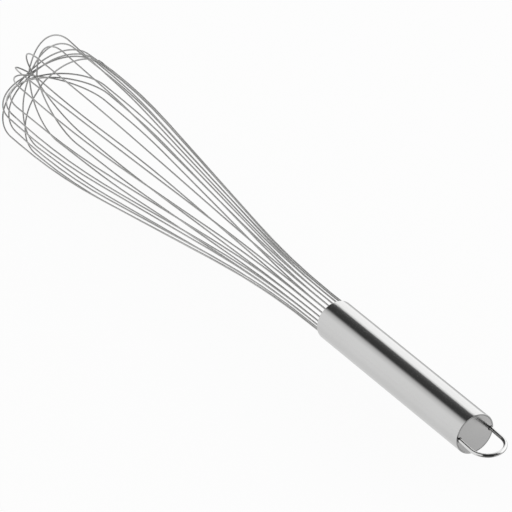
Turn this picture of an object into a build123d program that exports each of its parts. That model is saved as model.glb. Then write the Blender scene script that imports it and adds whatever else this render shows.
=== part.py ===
import os
from math import cos, radians, sin

from build123d import *

os.makedirs("parts", exist_ok=True)

# handle tube, lying along X with the origin at the middle of the grip
tube_d = 25.0
tube_len = 136.4
tube_wall = 0.8
lip_wall = 1.2
lip_len = 0.8
lip_round = 0.7
rim_round = 0.2

# wires: head_len runs from the handle's mouth to the tip, where all loops cross
wire_d = 1.0
loop_count = 12
head_len = 336.0
head_r = 35.0
stack_gap = 0.1
stack_rise = 4.5
crown_drop = 4.5
shoulder_r = 32.0
cross_bend_r = 20.0
belly_bend_share = 5 / 3
flare_bend_share = 25 / 12
flare_share = 0.83
slot_turn = 3.3
shoulder_share = 0.95

# inside the mouth: sealing resin, then the core that holds the wire ends
seal_len = 8.0
seat_len = 28.0
leg_short = 3.0

# butt: disc almost flush with the rim, and hanging loop
disc_thick = 1.2
disc_recess = 0.05
eye_wire_d = 2.3
eye_notch_gap = 0.4
eye_reach = 21.0
eye_root = 6.0
eye_start = 1.0
eye_lean = 3.0
lean_bend_r = 30.0
bow_share = 0.98

# clearances
fit_gap = 0.05
lip_gap = 0.1

tube_r = tube_d / 2
bore_r = tube_r - tube_wall
lip_r = tube_r - lip_wall
plug_r = bore_r - fit_gap
ring_r = lip_r - lip_gap - wire_d / 2
eye_r = plug_r - eye_wire_d / 2
mouth_x = -tube_len / 2
butt_x = tube_len / 2
seal_x = mouth_x + lip_len + fit_gap
seat_x = seal_x + seal_len + fit_gap
leg_end_x = seat_x + seat_len - leg_short
tip_x = mouth_x - head_len
flare_x = tip_x + head_len * flare_share
belly_bend_r = head_len * belly_bend_share
flare_bend_r = head_len * flare_bend_share
leg_count = 2 * loop_count
slot_pitch = 360 / leg_count
first_slot = loop_count + 2

# one row a loop: its place in the stack at the tip, then its near leg and its far leg.
# A leg has its crown's angle in degrees about X, from +Y towards +Z, and radius as a share
# of head_r, then the same two for its belly, and the belly's depth as a share of head_len.
loop_shares = [
    (1, (211, 1.12, 211, 1.14, 0.25), (34, 0.87, 34, 0.99, 0.22)),
    (4, (208, 0.97, 208, 1.08, 0.25), (30, 0.90, 30, 0.94, 0.24)),
    (3, (190, 1.00, 190, 1.05, 0.26), (24, 0.93, 24, 0.90, 0.22)),
    (8, (181, 0.97, 181, 1.12, 0.28), (-3, 0.92, -3, 0.89, 0.26)),
    (10, (171, 0.99, 171, 0.95, 0.32), (-11, 0.95, -11, 0.90, 0.26)),
    (7, (154, 0.82, 153, 0.95, 0.33), (-21, 0.98, -21, 0.91, 0.26)),
    (6, (139, 0.98, 136, 0.95, 0.34), (-51, 0.99, -47, 1.02, 0.28)),
    (5, (114, 0.94, 115, 0.96, 0.32), (-65, 1.01, -65, 0.99, 0.28)),
    (9, (90, 1.02, 90, 0.89, 0.31), (-77, 1.04, -77, 0.95, 0.28)),
    (0, (74, 1.08, 74, 0.92, 0.31), (-90, 1.03, -90, 0.94, 0.28)),
    (2, (62, 0.88, 62, 0.88, 0.30), (-116, 1.08, -116, 0.97, 0.27)),
    (16, (37, 0.91, 37, 0.97, 0.24), (-135, 1.07, -135, 1.06, 0.27)),
]


def polar_point(x, radius, angle):
    return (x, radius * cos(radians(angle)), radius * sin(radians(angle)))


def leg_corners(leg, slot_angle, crown_x):
    crown_angle, crown_share, belly_angle, belly_share, depth_share = leg
    return [
        polar_point(leg_end_x, ring_r, slot_angle),
        polar_point(flare_x, ring_r, slot_angle),
        polar_point(tip_x + head_len * depth_share, head_r * belly_share, belly_angle),
        polar_point(crown_x + crown_drop, head_r * crown_share, crown_angle),
    ]


def leg_bends(leg):
    crown_share = leg[1]
    return [flare_bend_r, belly_bend_r, min(shoulder_r, head_r * crown_share * shoulder_share)]


# handle: thin tube, its mouth rolled in to a rounded lip
with BuildPart() as handle_tube:
    with BuildSketch(Plane.XY) as tube_profile:
        with BuildLine():
            Polyline(
                (mouth_x, lip_r),
                (mouth_x, tube_r),
                (butt_x, tube_r),
                (butt_x, bore_r),
                (mouth_x + lip_len, bore_r),
                (mouth_x + lip_len, lip_r),
                close=True,
            )
        make_face()
        fillet(tube_profile.vertices().group_by(Axis.X)[0].sort_by(Axis.Y)[-1], lip_round)
        fillet(tube_profile.vertices().group_by(Axis.X)[-1], rim_round)
    revolve(axis=Axis.X)
handle_tube.part.label = "handle_tube"
export_step(handle_tube.part, "parts/handle_tube.step")

# wire loops: two straight legs in the handle, each flaring to its belly and turning in at
# its crown; the legs meet on the axis, every loop at its own place in the stack
for number, (place, near_leg, far_leg) in enumerate(loop_shares, start=1):
    near_slot = (first_slot + 1 - number) * slot_pitch + slot_turn
    crown_x = tip_x - stack_rise + place * (wire_d + stack_gap)
    near_corners = leg_corners(near_leg, near_slot, crown_x)
    far_corners = leg_corners(far_leg, near_slot - 180, crown_x)
    corners = near_corners + [(crown_x, 0, 0)] + far_corners[::-1]
    bends = leg_bends(near_leg) + [cross_bend_r] + leg_bends(far_leg)[::-1]
    with BuildPart() as wire_loop:
        with BuildLine() as wire_path:
            FilletPolyline(*corners, radius=bends)
        with BuildSketch(Plane(origin=wire_path.line @ 0, z_dir=wire_path.line % 0)):
            Circle(wire_d / 2)
        sweep()
    wire_loop.part.label = f"wire_loop_{number:02d}"
    export_step(wire_loop.part, f"parts/wire_loop_{number:02d}.step")

# core inside the handle, with one hole for each leg
with BuildPart() as wire_seat:
    with BuildSketch(Plane.YZ.offset(seat_x)):
        Circle(plug_r)
        with PolarLocations(ring_r, leg_count, start_angle=slot_turn):
            Circle(wire_d / 2 + fit_gap, mode=Mode.SUBTRACT)
    extrude(amount=seat_len)
wire_seat.part.label = "wire_seat"
export_step(wire_seat.part, "parts/wire_seat.step")

# sealing resin that fills the mouth around the legs
with BuildPart() as mouth_seal:
    with BuildSketch(Plane.YZ.offset(seal_x)):
        Circle(plug_r)
        with PolarLocations(ring_r, leg_count, start_angle=slot_turn):
            Circle(wire_d / 2 + fit_gap, mode=Mode.SUBTRACT)
    extrude(amount=seal_len)
mouth_seal.part.label = "mouth_seal"
export_step(mouth_seal.part, "parts/mouth_seal.step")

# disc that closes the butt, with a wide notch for each leg of the hanging loop
with BuildPart() as end_disc:
    with BuildSketch(Plane.YZ.offset(butt_x - disc_recess - disc_thick)):
        Circle(plug_r)
        with PolarLocations(eye_r, 2):
            Circle(eye_wire_d / 2 + eye_notch_gap, mode=Mode.SUBTRACT)
    extrude(amount=disc_thick)
end_disc.part.label = "end_disc"
export_step(end_disc.part, "parts/end_disc.step")

# hanging loop: two legs against the tube's wall, leaning a little towards -Z outside it,
# joined by half a turn
lean_x = butt_x + eye_start
bow_x = lean_x + (eye_reach - eye_start) * cos(radians(eye_lean))
bow_z = (eye_start - eye_reach) * sin(radians(eye_lean))
with BuildPart() as hanging_loop:
    with BuildLine() as eye_path:
        FilletPolyline(
            (butt_x - eye_root, eye_r, 0),
            (lean_x, eye_r, 0),
            (bow_x, eye_r, bow_z),
            (bow_x, -eye_r, bow_z),
            (lean_x, -eye_r, 0),
            (butt_x - eye_root, -eye_r, 0),
            radius=[lean_bend_r, eye_r * bow_share, eye_r * bow_share, lean_bend_r],
        )
    with BuildSketch(Plane(origin=eye_path.line @ 0, z_dir=eye_path.line % 0)):
        Circle(eye_wire_d / 2)
    sweep()
hanging_loop.part.label = "hanging_loop"
export_step(hanging_loop.part, "parts/hanging_loop.step")
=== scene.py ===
from math import degrees, pi, radians

import bpy
import numpy as np
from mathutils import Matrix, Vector


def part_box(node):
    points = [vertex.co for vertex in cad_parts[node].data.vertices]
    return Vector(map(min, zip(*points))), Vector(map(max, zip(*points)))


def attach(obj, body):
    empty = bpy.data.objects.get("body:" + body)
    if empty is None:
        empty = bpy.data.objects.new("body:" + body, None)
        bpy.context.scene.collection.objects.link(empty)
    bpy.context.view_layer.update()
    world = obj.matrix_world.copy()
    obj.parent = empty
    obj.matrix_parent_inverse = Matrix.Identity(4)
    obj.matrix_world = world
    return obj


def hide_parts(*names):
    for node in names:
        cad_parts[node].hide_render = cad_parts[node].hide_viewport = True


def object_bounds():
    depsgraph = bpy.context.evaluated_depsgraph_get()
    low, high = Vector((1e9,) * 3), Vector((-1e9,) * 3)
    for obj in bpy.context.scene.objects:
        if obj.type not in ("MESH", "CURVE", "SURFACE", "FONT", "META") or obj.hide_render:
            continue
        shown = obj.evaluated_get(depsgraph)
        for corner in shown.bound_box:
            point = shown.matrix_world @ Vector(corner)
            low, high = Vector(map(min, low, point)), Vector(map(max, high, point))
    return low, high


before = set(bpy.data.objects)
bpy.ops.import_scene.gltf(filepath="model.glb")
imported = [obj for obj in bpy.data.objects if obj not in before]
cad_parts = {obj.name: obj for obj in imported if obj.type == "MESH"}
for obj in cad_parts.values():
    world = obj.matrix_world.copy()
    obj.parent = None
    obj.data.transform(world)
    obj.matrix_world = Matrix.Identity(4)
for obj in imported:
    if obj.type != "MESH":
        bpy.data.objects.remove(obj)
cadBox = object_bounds()
print("frame loaded:", len(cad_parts), "nodes")

mm = 0.001


# shader maths: a wrapped socket, so that sums of sockets read as sums
class Shade:
    def __init__(self, tree, socket=None):
        self.tree = tree
        self.socket = socket

    def make(self, kind, settings=None, sockets=None, out=0):
        node = self.tree.nodes.new(kind)
        for name, value in (settings or {}).items():
            if name == "stops":
                ramp = node.color_ramp
                while len(ramp.elements) > 1:
                    ramp.elements.remove(ramp.elements[-1])
                for number, (place, level) in enumerate(value):
                    stop = ramp.elements[0] if number == 0 else ramp.elements.new(place)
                    stop.position = place
                    stop.color = (level, level, level, 1)
            else:
                setattr(node, name, value)
        for name, value in (sockets or {}).items():
            if isinstance(value, Shade):
                self.tree.links.new(value.socket, node.inputs[name])
            else:
                node.inputs[name].default_value = value
        return Shade(self.tree, node.outputs[out] if len(node.outputs) else None)

    def maths(self, operation, first, second=0.0, clamp=False):
        settings = {"operation": operation, "use_clamp": clamp}
        return self.make("ShaderNodeMath", settings, {0: first, 1: second})

    def __add__(self, other):
        return self.maths("ADD", self, other)

    __radd__ = __add__

    def __mul__(self, other):
        return self.maths("MULTIPLY", self, other)

    __rmul__ = __mul__

    def __sub__(self, other):
        return self.maths("SUBTRACT", self, other)

    def __rsub__(self, other):
        return self.maths("SUBTRACT", other, self)

    def __truediv__(self, other):
        return self.maths("DIVIDE", self, other)

    def __rtruediv__(self, other):
        return self.maths("DIVIDE", other, self)


# an empty material, and a maker for its nodes
def startMaterial(name):
    material = bpy.data.materials.new(name)
    material.use_nodes = True
    tree = material.node_tree
    tree.nodes.clear()
    return material, Shade(tree)


def objectPlace(maker):
    return maker.make("ShaderNodeTexCoord", out="Object")


# one coordinate of a place: 0, 1 or 2 for x, y or z
def coordinate(maker, place, axis):
    return maker.make("ShaderNodeSeparateXYZ", sockets={0: place}, out=axis)


def wear(piece, material):
    piece.data.materials.clear()
    piece.data.materials.append(material)


# the piece stands for a CAD node, and rides with the whole object
def settle(piece, node):
    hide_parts(node)
    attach(piece, "root")


# places of this object that its pieces share, in metres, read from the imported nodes
tubeLow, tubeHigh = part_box("handle_tube")
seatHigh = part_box("wire_seat")[1]
eyeLow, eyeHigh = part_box("hanging_loop")
mouthX, buttX = tubeLow.x, tubeHigh.x
tubeRadius = tubeHigh.y


# a piece from a grid of points, its rows and columns joined to the next by four-sided faces;
# its uv is the length along the rows and the share of the way across the columns
def gridPiece(name, grid, closedRows=False, closedColumns=False, rowLengths=None, capped=False):
    rows, columns = grid.shape[:2]
    rowCount = rows if closedRows else rows - 1
    columnCount = columns if closedColumns else columns - 1
    i, j = np.meshgrid(np.arange(rowCount), np.arange(columnCount), indexing="ij")
    nextRow, nextColumn = (i + 1) % rows, (j + 1) % columns
    turns = [(i, j), (nextRow, j), (nextRow, nextColumn), (i, nextColumn)]
    faces = np.stack([row * columns + column for row, column in turns], -1)
    faceList = faces.reshape(-1, 4).tolist()
    if capped:
        faceList.append(list(range(columns)))
        faceList.append([(rows - 1) * columns + k for k in reversed(range(columns))])
    mesh = bpy.data.meshes.new(name)
    mesh.from_pydata(grid.reshape(-1, 3).tolist(), [], faceList)
    along = np.arange(rows + 1, dtype=float) if rowLengths is None else np.append(rowLengths, rowLengths[-1])
    u = np.stack([along[i], along[i + 1], along[i + 1], along[i]], -1)
    v = np.stack([j, j, j + 1, j + 1], -1) / columns
    corners = np.stack([u, v], -1).reshape(-1, 2)
    uvs = np.zeros((len(mesh.loops), 2), np.float32)
    uvs[: len(corners)] = corners
    mesh.uv_layers.new(name="surface").data.foreach_set("uv", uvs.ravel())
    mesh.polygons.foreach_set("use_smooth", np.ones(len(mesh.polygons), bool))
    mesh.validate()
    piece = bpy.data.objects.new(name, mesh)
    bpy.context.scene.collection.objects.link(piece)
    return piece


# a round profile carried along a path: each point plus radius times the cosine and sine of
# the angle round it, along the two directions square to the path
def tubePiece(name, points, tangents, radius, planeNormal, sides):
    side = np.cross(tangents, planeNormal)
    side /= np.linalg.norm(side, axis=1, keepdims=True)
    up = np.cross(side, tangents)
    turn = np.linspace(0, 2 * pi, sides, endpoint=False)[None, :, None]
    ring = np.cos(turn) * side[:, None] + np.sin(turn) * up[:, None]
    steps = np.linalg.norm(np.diff(points, axis=0), axis=1)
    lengths = np.concatenate([[0], np.cumsum(steps)])
    surface = points[:, None] + radius * ring
    return gridPiece(name, surface, closedColumns=True, rowLengths=lengths, capped=True)


# straight runs joined by tangent arcs: each corner is cut back by its bend radius times the
# tangent of half the turn, and a point of its arc lies the radius times the sine of its angle
# along the way in, and the radius times one less the cosine towards the inside
def bentPath(corners, bends, degreesPerStep, fewestSteps=4):
    corners = [np.array(corner, float) for corner in corners]
    firstWay = corners[1] - corners[0]
    points, tangents = [corners[0][None]], [(firstWay / np.linalg.norm(firstWay))[None]]
    for before, corner, after, bend in zip(corners, corners[1:], corners[2:], bends):
        wayIn = (corner - before) / np.linalg.norm(corner - before)
        wayOut = (after - corner) / np.linalg.norm(after - corner)
        turn = np.arccos(np.clip(wayIn @ wayOut, -1, 1))
        start = corner - wayIn * bend * np.tan(turn / 2)
        inward = wayOut - wayIn * (wayIn @ wayOut)
        inward /= np.linalg.norm(inward)
        steps = max(fewestSteps, int(np.ceil(degrees(turn) / degreesPerStep)))
        angle = np.linspace(0, turn, steps + 1)[:, None]
        points.append(start + bend * (np.sin(angle) * wayIn + (1 - np.cos(angle)) * inward))
        tangents.append(np.cos(angle) * wayIn + np.sin(angle) * inward)
    points.append(corners[-1][None])
    tangents.append(tangents[-1][-1:])
    return np.concatenate(points), np.concatenate(tangents)


# a closed profile turned about the X axis: its radius times the cosine and sine of the angle
def turnedPiece(name, profile, sides):
    turn = np.linspace(0, 2 * pi, sides, endpoint=False)
    along, radius = profile[:, :1], profile[:, 1:]
    x = np.broadcast_to(along, (len(profile), sides))
    grid = np.stack([x, radius * np.cos(turn), -radius * np.sin(turn)], -1)
    return gridPiece(name, grid, closedRows=True, closedColumns=True)


# camera and room
cameraSet = {
    "azimuth": 56.5,
    "elevation": 32.6,
    "distance": 2.483,
    "aim": (-0.1499, 0.0001, -0.0003),
    "focalPixels": 4240.0,
    "picturePixels": 512.0,
    "sensor": 36.0,
    "farthest": 50.0,
}


# the camera stands back from its aim, round by the azimuth and up by the elevation
def makeCamera():
    data = bpy.data.cameras.new("photoCamera")
    data.sensor_width = cameraSet["sensor"]
    data.lens = cameraSet["focalPixels"] * cameraSet["sensor"] / cameraSet["picturePixels"]
    data.clip_end = cameraSet["farthest"]
    camera = bpy.data.objects.new("photoCamera", data)
    azimuth, elevation = radians(cameraSet["azimuth"]), radians(cameraSet["elevation"])
    level = np.cos(elevation)
    back = Vector((np.sin(azimuth) * level, -np.cos(azimuth) * level, np.sin(elevation)))
    camera.location = Vector(cameraSet["aim"]) + back * cameraSet["distance"]
    camera.rotation_euler = back.to_track_quat("Z", "Y").to_euler()
    bpy.context.scene.collection.objects.link(camera)
    bpy.context.scene.camera = camera


# a ramp is a list of places, as shares of its width, with the glow at each
roomSet = {
    "white": (1, 1, 1, 1),
    "reflected": 1.0,
    "ambient": 0.8,
    "boxRadiance": 0.40,
    "boxX": (-5.0, 2.0),
    "boxY": 1.2,
    "boxZ": (-0.05, 1.50),
    "cardX": (-6.0, 6.0),
    "cardY": (-2.4, 1.14),
    "cardHeight": 2.0,
    "cardGlow": [
        (0.00, 1.0), (0.10, 0.94), (0.28, 0.79), (0.37, 0.66), (0.43, 0.40), (0.51, 0.056),
        (0.64, 0.056), (0.76, 0.068), (0.88, 0.11), (1.0, 0.17)],
    "flagX": 0.25,
    "flagY": (-0.27, 0.18),
    "flagZ": (-0.03, 0.60),
    "flagGlow": [(0.0, 1.0), (0.18, 0.025), (0.82, 0.025), (1.0, 1.0)],
    "floorReach": 8.0,
    "floorDrop": 0.0006,
    "floorColour": (0.86, 0.86, 0.855, 1),
    "floorBand": (-0.10, 0.90),
    # painted shadow: in reflections the floor's glow falls near the object, most behind it, where its shadow
    # would lie
    "floorGlow": [
        (0.01, 1.0), (0.10, 0.86), (0.112, 0.48), (0.14, 0.56), (0.26, 0.56), (0.40, 0.82), (1.0, 1.0)],
    "floorShown": 0.92,
    # painted shade: a patch of floor by the end card whose glow in reflections is dimmed by footDim
    "footX": (0.086, 0.096, 0.25, 0.30),
    "footY": (-0.30, -0.20, 0.002, 0.012),
    "footDim": 0.88,
}


# 1 for a camera, glossy or transmission ray, 0 for any other
def shownRay(maker):
    kinds = ("Camera", "Glossy", "Transmission")
    camera, glossy, through = (
        maker.make("ShaderNodeLightPath", out=f"Is {kind} Ray") for kind in kinds)
    return maker.maths("MAXIMUM", maker.maths("MAXIMUM", camera, glossy), through)


# the room is plain white to the camera and in reflections, and a little dimmer as a light
def makeRoom():
    world = bpy.data.worlds.new("studio")
    bpy.context.scene.world = world
    world.use_nodes = True
    tree = world.node_tree
    tree.nodes.clear()
    maker = Shade(tree)
    strength = roomSet["ambient"] + (roomSet["reflected"] - roomSet["ambient"]) * shownRay(maker)
    room = maker.make("ShaderNodeBackground", sockets={"Color": roomSet["white"], "Strength": strength})
    maker.make("ShaderNodeOutputWorld", sockets={"Surface": room})


# a flat sheet: a corner plus shares of its two sides
def flatSheet(name, corner, firstSide, secondSide):
    first, second = np.meshgrid([0.0, 1.0], [0.0, 1.0], indexing="ij")
    sides = first[..., None] * np.array(firstSide) + second[..., None] * np.array(secondSide)
    return gridPiece(name, np.array(corner) + sides)


# 0 outside the first and last of four places, 1 between the second and third, straight between
def plateau(value, places):
    rise = (value - places[0]) / (places[1] - places[0])
    fall = (places[3] - value) / (places[3] - places[2])
    return value.maths("MINIMUM", rise, fall, clamp=True)


# in reflections the floor is dimmer near the object, more so behind it, which is the object's shadow painted
# into its glow: the ramp gives its glow against y, measured across the band as a share of its width, and the
# end card's foot is dimmed by a further painted shade
def makeFloor():
    reach, low = roomSet["floorReach"], cadBox[0][2] - roomSet["floorDrop"]
    floor = flatSheet("paleFloor", (-reach, -reach, low), (2 * reach, 0, 0), (0, 2 * reach, 0))
    material, maker = startMaterial("paleFloor")
    place = objectPlace(maker)
    x, y = coordinate(maker, place, 0), coordinate(maker, place, 1)
    lowY, highY = roomSet["floorBand"]
    share = (y - lowY) / (highY - lowY)
    # painted shadow: the glow ramp darkens the floor near the object, as metal sees it
    glow = maker.make("ShaderNodeValToRGB", {"stops": roomSet["floorGlow"]}, {0: share})
    # painted shade: the foot patch dims the floor's reflected glow beside the end card
    foot = plateau(x, roomSet["footX"]) * plateau(y, roomSet["footY"])
    reflected = glow * (1 - roomSet["footDim"] * foot)
    camera = maker.make("ShaderNodeLightPath", out="Is Camera Ray")
    strength = reflected + (1 - reflected) * camera
    lit = maker.make("ShaderNodeEmission", sockets={"Color": roomSet["white"], "Strength": strength})
    matt = maker.make("ShaderNodeBsdfDiffuse", sockets={"Color": roomSet["floorColour"]})
    shown = roomSet["floorShown"] * shownRay(maker)
    mixed = maker.make("ShaderNodeMixShader", sockets={0: shown, 1: matt, 2: lit})
    maker.make("ShaderNodeOutputMaterial", sockets={"Surface": mixed})
    wear(floor, material)


# a card is seen in the metal alone, as a photographer's flag is: the ramp gives its glow against
# y, as a share of its width, and is the room's own white at the edges that fade out
def makeCard(name, corner, firstSide, secondSide, glow):
    card = flatSheet(name, corner, firstSide, secondSide)
    material, maker = startMaterial(name)
    share = (coordinate(maker, objectPlace(maker), 1) - corner[1]) / (firstSide[1] + secondSide[1])
    shade = maker.make("ShaderNodeValToRGB", {"stops": glow}, {0: share})
    lit = maker.make("ShaderNodeEmission", sockets={"Color": shade, "Strength": 1.0})
    maker.make("ShaderNodeOutputMaterial", sockets={"Surface": lit})
    wear(card, material)
    card.visible_camera = card.visible_diffuse = card.visible_shadow = card.visible_transmission = False


def makeCards():
    (lowX, highX), (lowY, highY) = roomSet["cardX"], roomSet["cardY"]
    corner = (lowX, lowY, roomSet["cardHeight"])
    makeCard("overheadCard", corner, (highX - lowX, 0, 0), (0, highY - lowY, 0), roomSet["cardGlow"])
    (lowY, highY), (lowZ, highZ) = roomSet["flagY"], roomSet["flagZ"]
    corner = (roomSet["flagX"], lowY, lowZ)
    makeCard("endCard", corner, (0, highY - lowY, 0), (0, 0, highZ - lowZ), roomSet["flagGlow"])


# radiance times pi times area is the lamp's power
def makeSoftbox():
    (lowX, highX), (lowZ, highZ) = roomSet["boxX"], roomSet["boxZ"]
    width, height = highX - lowX, highZ - lowZ
    data = bpy.data.lights.new("softbox", "AREA")
    data.shape, data.size, data.size_y = "RECTANGLE", width, height
    data.energy = roomSet["boxRadiance"] * pi * width * height
    softbox = bpy.data.objects.new("softbox", data)
    softbox.location = ((lowX + highX) / 2, roomSet["boxY"], (lowZ + highZ) / 2)
    softbox.rotation_euler = (-pi / 2, 0, 0)
    softbox.visible_camera = False
    bpy.context.scene.collection.objects.link(softbox)


makeCamera()
makeRoom()
makeFloor()
makeCards()
makeSoftbox()
bpy.context.scene.view_settings.view_transform = "Standard"
print("camera and room ready")


# fine lines drawn out along one axis: noise on coordinates squeezed along it
def drawnLines(maker, place, scale, detail=2.0):
    stretched = maker.make("ShaderNodeMapping", sockets={"Vector": place, "Scale": scale})
    return maker.make("ShaderNodeTexNoise", sockets={"Vector": stretched, "Scale": 1.0, "Detail": detail})


# noise that is as long as it is wide
def cloudNoise(maker, place, scale, detail=3.0):
    return maker.make("ShaderNodeTexNoise", sockets={"Vector": place, "Scale": scale, "Detail": detail})


# 0 below the start and rising from there by the gain, to 1
def rising(maker, value, start, gain):
    return maker.maths("MULTIPLY", value - start, gain, clamp=True)


# the blend runs from the finish's colour to its dull one, and the height is given as a bump
def finishSurface(maker, finish, blend, rough, height=None):
    colour = maker.make(
        "ShaderNodeMix", {"data_type": "RGBA"},
        {0: blend, "A": finish["colour"], "B": finish["dull"]}, out="Result")
    sockets = {"Base Color": colour, "Metallic": finish["metallic"], "Roughness": rough}
    if height is not None:
        relief = {"Strength": finish["bump"], "Distance": finish["depth"], "Height": height}
        sockets["Normal"] = maker.make("ShaderNodeBump", sockets=relief)
    surface = maker.make("ShaderNodeBsdfPrincipled", sockets=sockets)
    maker.make("ShaderNodeOutputMaterial", sockets={"Surface": surface})


tubeSteelSet = {
    "colour": (0.60, 0.60, 0.597, 1),
    "dull": (0.565, 0.563, 0.555, 1),
    "dullShare": 0.5,
    "metallic": 1.0,
    "roughness": 0.105,
    "lineRoughness": 0.04,
    "lineScale": (60, 4000, 4000),
    "patchRoughness": 0.02,
    "patchScale": 45.0,
    "patchStart": 0.35,
    "patchGain": 1.6,
    "bump": 0.25,
    "depth": 0.000002,
}


# polished tube: lines from polishing along it, and soft patches that are a little duller
def tubeSteel():
    finish = tubeSteelSet
    material, maker = startMaterial("polishedTubeSteel")
    place = objectPlace(maker)
    lines = drawnLines(maker, place, finish["lineScale"])
    patches = cloudNoise(maker, place, finish["patchScale"])
    soft = rising(maker, patches, finish["patchStart"], finish["patchGain"])
    rough = finish["roughness"] + finish["lineRoughness"] * lines + finish["patchRoughness"] * soft
    finishSurface(maker, finish, soft * finish["dullShare"], rough, lines)
    return material


# handle
handleSet = {
    "wall": 0.8 * mm,
    "lipWall": 1.2 * mm,
    "lipLength": 0.8 * mm,
    "lipRound": 0.7 * mm,
    "rimRound": 0.2 * mm,
    "sides": 256,
    "wallPoints": 40,
    "roundPoints": 10,
    "sharpDegrees": 40,
}


# a quarter turn of the profile about a centre
def quarter(centreX, centreR, radius, fromDegrees, toDegrees):
    turn = np.radians(np.linspace(fromDegrees, toDegrees, handleSet["roundPoints"]))
    return np.stack([centreX + radius * np.cos(turn), centreR + radius * np.sin(turn)], -1)


# the profile runs from the lip over the outside to the rim, and back along the bore
def makeHandle():
    lipRound, rimRound = handleSet["lipRound"], handleSet["rimRound"]
    bore, lip = tubeRadius - handleSet["wall"], tubeRadius - handleSet["lipWall"]
    innerX = mouthX + handleSet["lipLength"]
    wall = np.linspace(mouthX + lipRound, buttX - rimRound, handleSet["wallPoints"])[1:-1]
    profile = np.concatenate([
        [[mouthX, lip]],
        quarter(mouthX + lipRound, tubeRadius - lipRound, lipRound, 180, 90),
        np.stack([wall, np.full_like(wall, tubeRadius)], -1),
        quarter(buttX - rimRound, tubeRadius - rimRound, rimRound, 90, 0),
        quarter(buttX - rimRound, bore + rimRound, rimRound, 0, -90),
        [[innerX, bore], [innerX, lip]],
    ])
    handle = turnedPiece("handleShell", profile, handleSet["sides"])
    handle.data.set_sharp_from_angle(angle=radians(handleSet["sharpDegrees"]))
    wear(handle, tubeSteel())
    settle(handle, "handle_tube")


makeHandle()
print("handle made")


# wires
wireSteelSet = {
    "colour": (0.54, 0.54, 0.535, 1),
    "dull": (0.34, 0.34, 0.335, 1),
    "metallic": 1.0,
    "roughness": 0.20,
    "lineRoughness": 0.06,
    "lineScale": (60, 14, 1),
    "spotScale": (25, 3, 1),
    "spotDetail": 3.0,
    "spotStart": 0.3,
    "spotGain": 2.5,
    "bump": 0.3,
    "depth": 0.000002,
}


# drawn wire: lines and duller spots that run along it
def wireSteel():
    finish = wireSteelSet
    material, maker = startMaterial("drawnWireSteel")
    along = maker.make("ShaderNodeUVMap", {"uv_map": "surface"})
    lines = drawnLines(maker, along, finish["lineScale"])
    spots = drawnLines(maker, along, finish["spotScale"], finish["spotDetail"])
    dull = rising(maker, spots, finish["spotStart"], finish["spotGain"])
    finishSurface(maker, finish, dull, finish["roughness"] + finish["lineRoughness"] * lines, lines)
    return material


wireSet = {
    "radius": 0.49 * mm,
    "headLength": 336 * mm,
    "headRadius": 35 * mm,
    "ringRadius": 10.7 * mm,
    "stackRise": 4.48 * mm,
    "stackPitch": 1.1 * mm,
    "crownDrop": 4.5 * mm,
    "legEnd": 3.0 * mm,
    "shoulderBend": 32 * mm,
    "shoulderShare": 0.95,
    "crossBend": 20 * mm,
    "bellyBend": 560 * mm,
    "flareBend": 700 * mm,
    "flareShare": 0.83,
    "firstSlot": 14,
    "slotTurn": 3.3,
    "sides": 12,
    "degreesPerStep": 2.0,
}
# one row a loop: place in the stack at the tip, then the near and the far leg, each with its
# crown's angle about X and radius share, its belly's angle and radius share, and its depth share
loopShares = [
    (1, (211, 1.12, 211, 1.14, 0.25), (34, 0.87, 34, 0.99, 0.22)),
    (4, (208, 0.97, 208, 1.08, 0.25), (30, 0.90, 30, 0.94, 0.24)),
    (3, (190, 1.00, 190, 1.05, 0.26), (24, 0.93, 24, 0.90, 0.22)),
    (8, (181, 0.97, 181, 1.12, 0.28), (-3, 0.92, -3, 0.89, 0.26)),
    (10, (171, 0.99, 171, 0.95, 0.32), (-11, 0.95, -11, 0.90, 0.26)),
    (7, (154, 0.82, 153, 0.95, 0.33), (-21, 0.98, -21, 0.91, 0.26)),
    (6, (139, 0.98, 136, 0.95, 0.34), (-51, 0.99, -47, 1.02, 0.28)),
    (5, (114, 0.94, 115, 0.96, 0.32), (-65, 1.01, -65, 0.99, 0.28)),
    (9, (90, 1.02, 90, 0.89, 0.31), (-77, 1.04, -77, 0.95, 0.28)),
    (0, (74, 1.08, 74, 0.92, 0.31), (-90, 1.03, -90, 0.94, 0.28)),
    (2, (62, 0.88, 62, 0.88, 0.30), (-116, 1.08, -116, 0.97, 0.27)),
    (16, (37, 0.91, 37, 0.97, 0.24), (-135, 1.07, -135, 1.06, 0.27)),
]


# a place along X, and the radius times the cosine and sine of the angle about it
def polarPoint(x, radius, angle):
    return (x, radius * np.cos(radians(angle)), radius * np.sin(radians(angle)))


# a leg's end in the core, the start of its flare, its belly and its crown
def legCorners(leg, slotAngle, crownX):
    crownAngle, crownShare, bellyAngle, bellyShare, depthShare = leg
    headRadius, headLength = wireSet["headRadius"], wireSet["headLength"]
    tipX = mouthX - headLength
    return [
        polarPoint(seatHigh.x - wireSet["legEnd"], wireSet["ringRadius"], slotAngle),
        polarPoint(tipX + headLength * wireSet["flareShare"], wireSet["ringRadius"], slotAngle),
        polarPoint(tipX + headLength * depthShare, headRadius * bellyShare, bellyAngle),
        polarPoint(crownX + wireSet["crownDrop"], headRadius * crownShare, crownAngle),
    ]


# the bends at the flare, the belly and the crown, the last limited by the crown's own radius
def legBends(leg):
    crownShare = leg[1]
    shoulder = min(wireSet["shoulderBend"], wireSet["headRadius"] * crownShare * wireSet["shoulderShare"])
    return [wireSet["flareBend"], wireSet["bellyBend"], shoulder]


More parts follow.
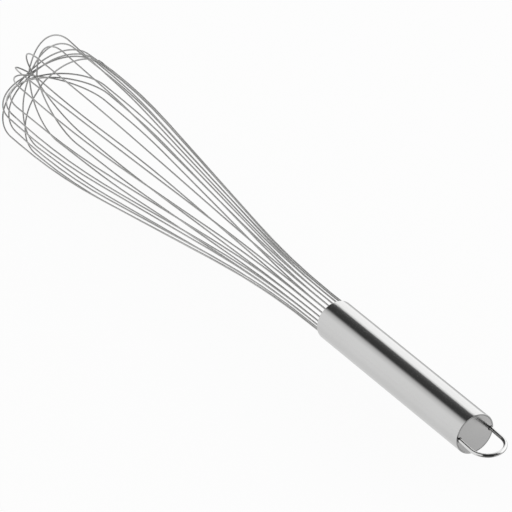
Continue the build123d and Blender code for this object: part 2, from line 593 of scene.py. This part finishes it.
# each wire runs out along its near leg, over the axis at its own place in the stack, and back
# along its far leg, to the slot half a turn from the first
def makeWires():
    material = wireSteel()
    slotPitch = 180 / len(loopShares)
    for number, (place, nearLeg, farLeg) in enumerate(loopShares, start=1):
        nearSlot = (wireSet["firstSlot"] + 1 - number) * slotPitch + wireSet["slotTurn"]
        crownX = mouthX - wireSet["headLength"] - wireSet["stackRise"] + place * wireSet["stackPitch"]
        corners = legCorners(nearLeg, nearSlot, crownX) + [(crownX, 0, 0)]
        corners += legCorners(farLeg, nearSlot - 180, crownX)[::-1]
        bends = legBends(nearLeg) + [wireSet["crossBend"]] + legBends(farLeg)[::-1]
        points, tangents = bentPath(corners, bends, wireSet["degreesPerStep"])
        planeNormal = np.array(polarPoint(0, 1, nearLeg[0] + 90))
        name = f"whiskWire{number:02d}"
        wire = tubePiece(name, points, tangents, wireSet["radius"], planeNormal, wireSet["sides"])
        wear(wire, material)
        settle(wire, f"wire_loop_{number:02d}")


makeWires()
print("wires made:", len(loopShares))


# hanging loop
eyeSteelSet = {
    "colour": (0.72, 0.72, 0.715, 1),
    "dull": (0.66, 0.66, 0.65, 1),
    "dullShare": 0.6,
    "metallic": 1.0,
    "roughness": 0.08,
    "lineRoughness": 0.05,
    "lineScale": (120, 22, 1),
}


# polished wire: faint lines that run along it
def eyeSteel():
    finish = eyeSteelSet
    material, maker = startMaterial("polishedLoopSteel")
    along = maker.make("ShaderNodeUVMap", {"uv_map": "surface"})
    lines = drawnLines(maker, along, finish["lineScale"])
    rough = finish["roughness"] + finish["lineRoughness"] * lines
    finishSurface(maker, finish, lines * finish["dullShare"], rough)
    return material


eyeSet = {
    "radius": 1.15 * mm,
    "reach": 21.0 * mm,
    "start": 1.0 * mm,
    "lean": 3.0,
    "leanBend": 30 * mm,
    "bowShare": 0.98,
    "sides": 40,
    "degreesPerStep": 2.5,
}


# its legs lean a little downwards outside the disc, and half a turn joins them
def makeHangingLoop():
    across, lean = eyeHigh.y - eyeSet["radius"], radians(eyeSet["lean"])
    leanX, armLength = buttX + eyeSet["start"], eyeSet["reach"] - eyeSet["start"]
    bowX, bowZ = leanX + armLength * np.cos(lean), -armLength * np.sin(lean)
    leg = [(eyeLow.x, 0), (leanX, 0), (bowX, bowZ)]
    corners = [(x, across, z) for x, z in leg] + [(x, -across, z) for x, z in leg[::-1]]
    bow = across * eyeSet["bowShare"]
    bends = [eyeSet["leanBend"], bow, bow, eyeSet["leanBend"]]
    points, tangents = bentPath(corners, bends, eyeSet["degreesPerStep"])
    planeNormal = np.array([np.sin(lean), 0, np.cos(lean)])
    loop = tubePiece("hangingWire", points, tangents, eyeSet["radius"], planeNormal, eyeSet["sides"])
    wear(loop, eyeSteel())
    settle(loop, "hanging_loop")


makeHangingLoop()
print("hanging loop made")


# disc, seal and core: the CAD nodes stay, with finishes of their own
discSteelSet = {
    "colour": (0.77, 0.765, 0.76, 1),
    "dull": (0.71, 0.708, 0.705, 1),
    "metallic": 1.0,
    "roughness": 0.15,
    "ringRoughness": 0.06,
    "ringScale": 5000.0,
    "cloudScale": 90.0,
    "bump": 0.2,
    "depth": 0.000003,
}


# satin disc: rings left by turning, as noise on the distance from the axis, which is the root
# of the sum of the squares of y and z
def discSteel():
    finish = discSteelSet
    material, maker = startMaterial("satinDiscSteel")
    place = objectPlace(maker)
    y, z = coordinate(maker, place, 1), coordinate(maker, place, 2)
    away = maker.maths("SQRT", y * y + z * z) * finish["ringScale"]
    rings = maker.make("ShaderNodeTexNoise", {"noise_dimensions": "1D"}, {"W": away, "Scale": 1.0})
    clouds = cloudNoise(maker, place, finish["cloudScale"])
    rough = finish["roughness"] + finish["ringRoughness"] * rings
    finishSurface(maker, finish, clouds, rough, rings)
    return material


sealResinSet = {
    "colour": (0.16, 0.16, 0.165, 1),
    "dull": (0.24, 0.24, 0.24, 1),
    "metallic": 0.0,
    "roughness": 0.35,
    "grainRoughness": 0.2,
    "grainScale": 900.0,
    "bump": 0.3,
    "depth": 0.00005,
}


# resin: a fine grain in its colour, roughness and surface
def sealResin():
    finish = sealResinSet
    material, maker = startMaterial("sealingResin")
    grain = cloudNoise(maker, objectPlace(maker), finish["grainScale"])
    finishSurface(maker, finish, grain, finish["roughness"] + finish["grainRoughness"] * grain, grain)
    return material


coreMetalSet = {
    "colour": (0.62, 0.62, 0.63, 1),
    "metallic": 1.0,
    "roughness": 0.3,
    "lineRoughness": 0.15,
    "lineScale": (3000, 200, 200),
}


# turned core: fine lines round its axis
def coreMetal():
    finish = coreMetalSet
    material, maker = startMaterial("coreMetal")
    turned = drawnLines(maker, objectPlace(maker), finish["lineScale"])
    rough = finish["roughness"] + finish["lineRoughness"] * turned
    sockets = {"Base Color": finish["colour"], "Metallic": finish["metallic"], "Roughness": rough}
    metal = maker.make("ShaderNodeBsdfPrincipled", sockets=sockets)
    maker.make("ShaderNodeOutputMaterial", sockets={"Surface": metal})
    return material


for node, finishMaker in (("end_disc", discSteel), ("mouth_seal", sealResin), ("wire_seat", coreMetal)):
    wear(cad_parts[node], finishMaker())
print("disc, seal and core finished")
